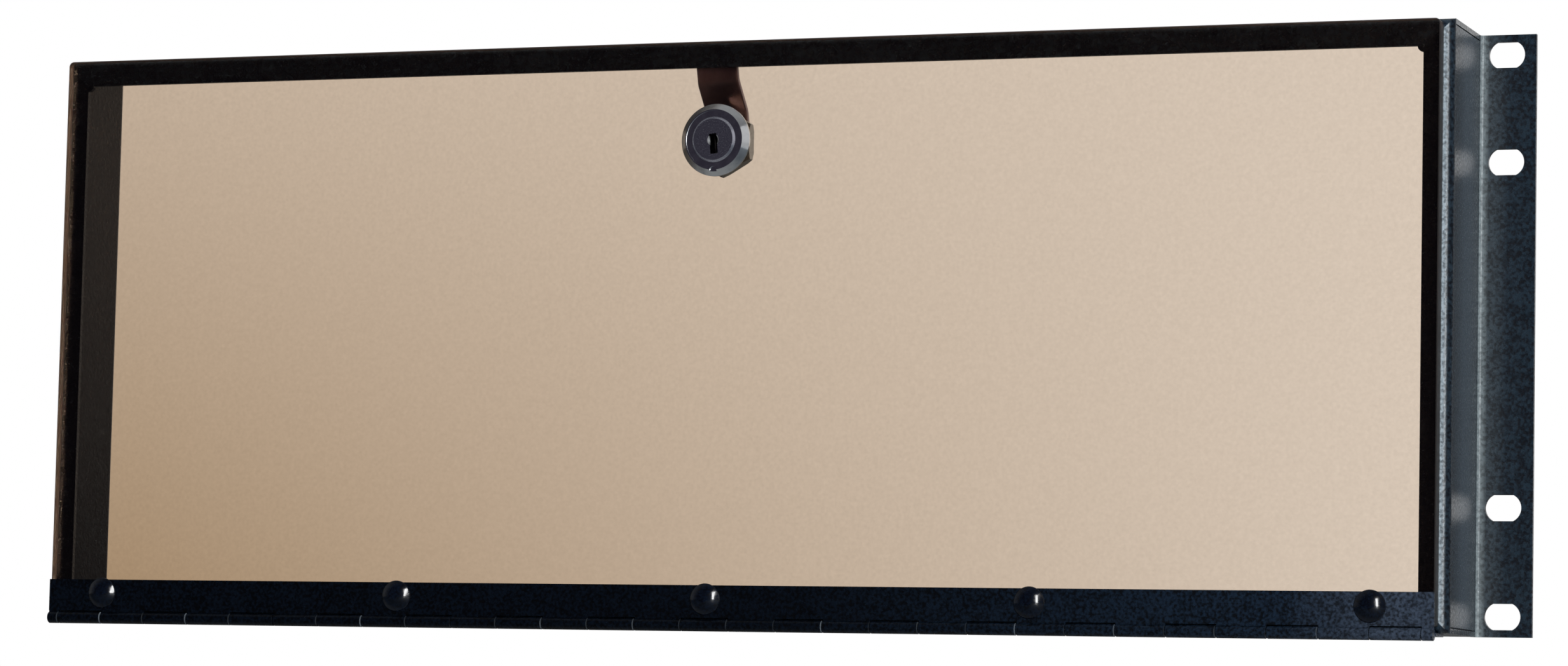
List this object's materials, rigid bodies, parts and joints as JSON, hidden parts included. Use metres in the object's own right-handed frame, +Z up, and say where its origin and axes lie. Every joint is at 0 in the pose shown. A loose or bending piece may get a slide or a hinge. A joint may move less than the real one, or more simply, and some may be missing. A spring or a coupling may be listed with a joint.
{
  "type": "lockable rack cover panel",
  "caption": "Welded steel rack frame with slotted ears and a smoked acrylic door on a bottom piano hinge, held shut by a key-operated cam lock.",
  "frame": {"origin": "middle of the rack hole pattern, on the rear face of the ears", "axes": "+X to the viewer's right along the panel, +Y back into the rack, +Z up; the door faces -Y"},
  "size_m": [0.4826, 0.0457, 0.1793],
  "materials": {
    "black_paint": "fine-textured dark paint",
    "hinge_paint": "satin black paint",
    "smoked_acrylic": "clear smoked bronze",
    "black_rivet": "glossy black",
    "lock_chrome": "satin chrome",
    "plain_steel": "zinc plated",
    "yellow_zinc": "yellow zinc plated",
    "wafer_brass": "plain"
  },
  "bodies": {
    "frame": {"side_channel_left": "black_paint", "side_channel_right": "black_paint", "top_rail": "black_paint", "bottom_rail": "black_paint", "hinge_frame_leaf": "hinge_paint", "hinge_pin": "plain_steel"},
    "door": {"hinge_door_leaf": "hinge_paint", "door_panel": "smoked_acrylic", "door_rivets": "black_rivet", "rivet_washers": "plain_steel", "lock_housing": "lock_chrome", "lock_washer": "plain_steel", "lock_nut": "plain_steel"},
    "plug": {"lock_plug": "lock_chrome", "tumbler_wafers": "wafer_brass", "wafer_springs": "plain_steel", "stop_plate": "plain_steel", "lock_cam": "yellow_zinc", "cam_washer": "plain_steel", "cam_nut": "plain_steel"}
  },
  "joints": [
    {"name": "door_swing", "type": "hinge", "parent": "frame", "child": "door", "pos_m": [0, -0.04335, -0.08895], "axis": [1, 0, 0], "range_deg": [0, 180]},
    {"name": "lock_turn", "type": "hinge", "parent": "door", "child": "plug", "pos_m": [0, -0.0429, 0.0575], "axis": [0, 1, 0], "range_deg": [0, 90]}
  ]
}
